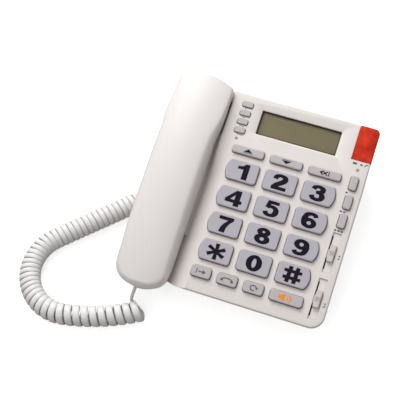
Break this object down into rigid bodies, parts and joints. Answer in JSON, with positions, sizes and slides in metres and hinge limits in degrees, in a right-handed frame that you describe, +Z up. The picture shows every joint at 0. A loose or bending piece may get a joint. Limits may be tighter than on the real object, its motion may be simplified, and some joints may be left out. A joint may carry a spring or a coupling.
{
  "type": "corded desk telephone",
  "caption": "Corded desk telephone with large spring keys, a display, volume sliders and a handset on a coiled cord in a side cradle.",
  "frame": {"origin": "centre of the flat underside of the base, 2 mm above the desk that the rubber feet stand on", "axes": "+Z up, +X to the right of the person using it, +Y away from them; the keypad panel rises 12 degrees towards +Y"},
  "size_m": [0.2917, 0.2643, 0.0853],
  "materials": {
    "case": "satin moulded warm white",
    "key": "satin moulded lavender grey",
    "lens": "translucent red plastic",
    "window": "clear plastic",
    "lcd": "grey-green display",
    "board": "green circuit board",
    "membrane": "translucent silicone",
    "rubber": "dark rubber",
    "black": "black plastic",
    "steel": "bright steel",
    "cell": "printed dark cell sleeve",
    "cord": "soft white vinyl",
    "plug": "clear plastic",
    "led": "tinted epoxy"
  },
  "bodies": {
    "base": {"upper_shell": "case", "lower_shell": "case", "display_window": "window", "lcd_panel": "lcd", "main_board": "board", "key_membrane": "membrane", "indicator_lens": "lens", "indicator_led": "led", "status_lights": "led", "loudspeaker": "black", "handsfree_mic": "steel", "line_jack": "black", "handset_jack": "black", "housing_screws": "steel", "board_screws": "steel", "rubber_feet": "rubber", "batteries": "cell", "battery_contacts": "steel", "hook_switch": "black", "slide_pots": "black", "coil_cord": "cord", "base_plug": "plug"},
    "handset": {"handset_outer_shell": "case", "handset_inner_shell": "case", "handset_ballast": "steel", "receiver_capsule": "black", "microphone_capsule": "steel", "handset_socket": "black", "handset_plug": "plug", "handset_screws": "steel"},
    "hook_plunger": {"hook_plunger": "case"},
    "battery_door": {"battery_door": "case"},
    "key_1": {"key_1": "key"},
    "key_2": {"key_2": "key"},
    "key_3": {"key_3": "key"},
    "key_4": {"key_4": "key"},
    "key_5": {"key_5": "key"},
    "key_6": {"key_6": "key"},
    "key_7": {"key_7": "key"},
    "key_8": {"key_8": "key"},
    "key_9": {"key_9": "key"},
    "key_star": {"key_star": "key"},
    "key_0": {"key_0": "key"},
    "key_hash": {"key_hash": "key"},
    "key_up": {"key_up": "key"},
    "key_down": {"key_down": "key"},
    "key_delete": {"key_delete": "key"},
    "key_out": {"key_out": "key"},
    "key_flash": {"key_flash": "key"},
    "key_redial": {"key_redial": "key"},
    "key_speaker": {"key_speaker": "key"},
    "memory_key_1": {"memory_key_1": "key"},
    "memory_key_2": {"memory_key_2": "key"},
    "memory_key_3": {"memory_key_3": "key"},
    "menu_key_1": {"menu_key_1": "key"},
    "menu_key_2": {"menu_key_2": "key"},
    "menu_key_3": {"menu_key_3": "key"},
    "menu_key_4": {"menu_key_4": "key"},
    "volume_slider": {"volume_slider": "key"},
    "ringer_slider": {"ringer_slider": "key"}
  },
  "joints": [
    {"name": "handset_lift", "type": "slide", "parent": "base", "child": "handset", "axis": [0, -0.2079, 0.9781], "range_m": [0, 0.08]},
    {"name": "hook_plunger_rise", "type": "slide", "parent": "base", "child": "hook_plunger", "axis": [0, -0.2079, 0.9781], "range_m": [0, 0.004]},
    {"name": "battery_door_slide", "type": "slide", "parent": "base", "child": "battery_door", "axis": [0, -1, 0], "range_m": [0, 0.004]},
    {"name": "volume_slide", "type": "slide", "parent": "base", "child": "volume_slider", "axis": [0, 0.9781, 0.2079], "range_m": [-0.0095, 0.011]},
    {"name": "ringer_slide", "type": "slide", "parent": "base", "child": "ringer_slider", "axis": [0, 0.9781, 0.2079], "range_m": [-0.0105, 0.0105]},
    {"name": "key_1_press", "type": "slide", "parent": "base", "child": "key_1", "axis": [0, 0.2079, -0.9781], "range_m": [0, 0.0018], "stiffness_N_per_m": 60, "springref_m": -0.003},
    {"name": "key_2_press", "type": "slide", "parent": "base", "child": "key_2", "axis": [0, 0.2079, -0.9781], "range_m": [0, 0.0018], "stiffness_N_per_m": 60, "springref_m": -0.003},
    {"name": "key_3_press", "type": "slide", "parent": "base", "child": "key_3", "axis": [0, 0.2079, -0.9781], "range_m": [0, 0.0018], "stiffness_N_per_m": 60, "springref_m": -0.003},
    {"name": "key_4_press", "type": "slide", "parent": "base", "child": "key_4", "axis": [0, 0.2079, -0.9781], "range_m": [0, 0.0018], "stiffness_N_per_m": 60, "springref_m": -0.003},
    {"name": "key_5_press", "type": "slide", "parent": "base", "child": "key_5", "axis": [0, 0.2079, -0.9781], "range_m": [0, 0.0018], "stiffness_N_per_m": 60, "springref_m": -0.003},
    {"name": "key_6_press", "type": "slide", "parent": "base", "child": "key_6", "axis": [0, 0.2079, -0.9781], "range_m": [0, 0.0018], "stiffness_N_per_m": 60, "springref_m": -0.003},
    {"name": "key_7_press", "type": "slide", "parent": "base", "child": "key_7", "axis": [0, 0.2079, -0.9781], "range_m": [0, 0.0018], "stiffness_N_per_m": 60, "springref_m": -0.003},
    {"name": "key_8_press", "type": "slide", "parent": "base", "child": "key_8", "axis": [0, 0.2079, -0.9781], "range_m": [0, 0.0018], "stiffness_N_per_m": 60, "springref_m": -0.003},
    {"name": "key_9_press", "type": "slide", "parent": "base", "child": "key_9", "axis": [0, 0.2079, -0.9781], "range_m": [0, 0.0018], "stiffness_N_per_m": 60, "springref_m": -0.003},
    {"name": "key_star_press", "type": "slide", "parent": "base", "child": "key_star", "axis": [0, 0.2079, -0.9781], "range_m": [0, 0.0018], "stiffness_N_per_m": 60, "springref_m": -0.003},
    {"name": "key_0_press", "type": "slide", "parent": "base", "child": "key_0", "axis": [0, 0.2079, -0.9781], "range_m": [0, 0.0018], "stiffness_N_per_m": 60, "springref_m": -0.003},
    {"name": "key_hash_press", "type": "slide", "parent": "base", "child": "key_hash", "axis": [0, 0.2079, -0.9781], "range_m": [0, 0.0018], "stiffness_N_per_m": 60, "springref_m": -0.003},
    {"name": "key_up_press", "type": "slide", "parent": "base", "child": "key_up", "axis": [0, 0.2079, -0.9781], "range_m": [0, 0.0018], "stiffness_N_per_m": 60, "springref_m": -0.003},
    {"name": "key_down_press", "type": "slide", "parent": "base", "child": "key_down", "axis": [0, 0.2079, -0.9781], "range_m": [0, 0.0018], "stiffness_N_per_m": 60, "springref_m": -0.003},
    {"name": "key_delete_press", "type": "slide", "parent": "base", "child": "key_delete", "axis": [0, 0.2079, -0.9781], "range_m": [0, 0.0018], "stiffness_N_per_m": 60, "springref_m": -0.003},
    {"name": "key_out_press", "type": "slide", "parent": "base", "child": "key_out", "axis": [0, 0.2079, -0.9781], "range_m": [0, 0.0018], "stiffness_N_per_m": 60, "springref_m": -0.003},
    {"name": "key_flash_press", "type": "slide", "parent": "base", "child": "key_flash", "axis": [0, 0.2079, -0.9781], "range_m": [0, 0.0018], "stiffness_N_per_m": 60, "springref_m": -0.003},
    {"name": "key_redial_press", "type": "slide", "parent": "base", "child": "key_redial", "axis": [0, 0.2079, -0.9781], "range_m": [0, 0.0018], "stiffness_N_per_m": 60, "springref_m": -0.003},
    {"name": "key_speaker_press", "type": "slide", "parent": "base", "child": "key_speaker", "axis": [0, 0.2079, -0.9781], "range_m": [0, 0.0018], "stiffness_N_per_m": 60, "springref_m": -0.003},
    {"name": "memory_key_1_press", "type": "slide", "parent": "base", "child": "memory_key_1", "axis": [0, 0.2079, -0.9781], "range_m": [0, 0.0018], "stiffness_N_per_m": 60, "springref_m": -0.003},
    {"name": "memory_key_2_press", "type": "slide", "parent": "base", "child": "memory_key_2", "axis": [0, 0.2079, -0.9781], "range_m": [0, 0.0018], "stiffness_N_per_m": 60, "springref_m": -0.003},
    {"name": "memory_key_3_press", "type": "slide", "parent": "base", "child": "memory_key_3", "axis": [0, 0.2079, -0.9781], "range_m": [0, 0.0018], "stiffness_N_per_m": 60, "springref_m": -0.003},
    {"name": "menu_key_1_press", "type": "slide", "parent": "base", "child": "menu_key_1", "axis": [0, 0.2079, -0.9781], "range_m": [0, 0.0012], "stiffness_N_per_m": 60, "springref_m": -0.003},
    {"name": "menu_key_2_press", "type": "slide", "parent": "base", "child": "menu_key_2", "axis": [0, 0.2079, -0.9781], "range_m": [0, 0.0012], "stiffness_N_per_m": 60, "springref_m": -0.003},
    {"name": "menu_key_3_press", "type": "slide", "parent": "base", "child": "menu_key_3", "axis": [0, 0.2079, -0.9781], "range_m": [0, 0.0012], "stiffness_N_per_m": 60, "springref_m": -0.003},
    {"name": "menu_key_4_press", "type": "slide", "parent": "base", "child": "menu_key_4", "axis": [0, 0.2079, -0.9781], "range_m": [0, 0.0012], "stiffness_N_per_m": 60, "springref_m": -0.003}
  ],
  "couplings": [
    {"joint": "hook_plunger_rise", "follows": "handset_lift", "ratio": 0.05}
  ]
}
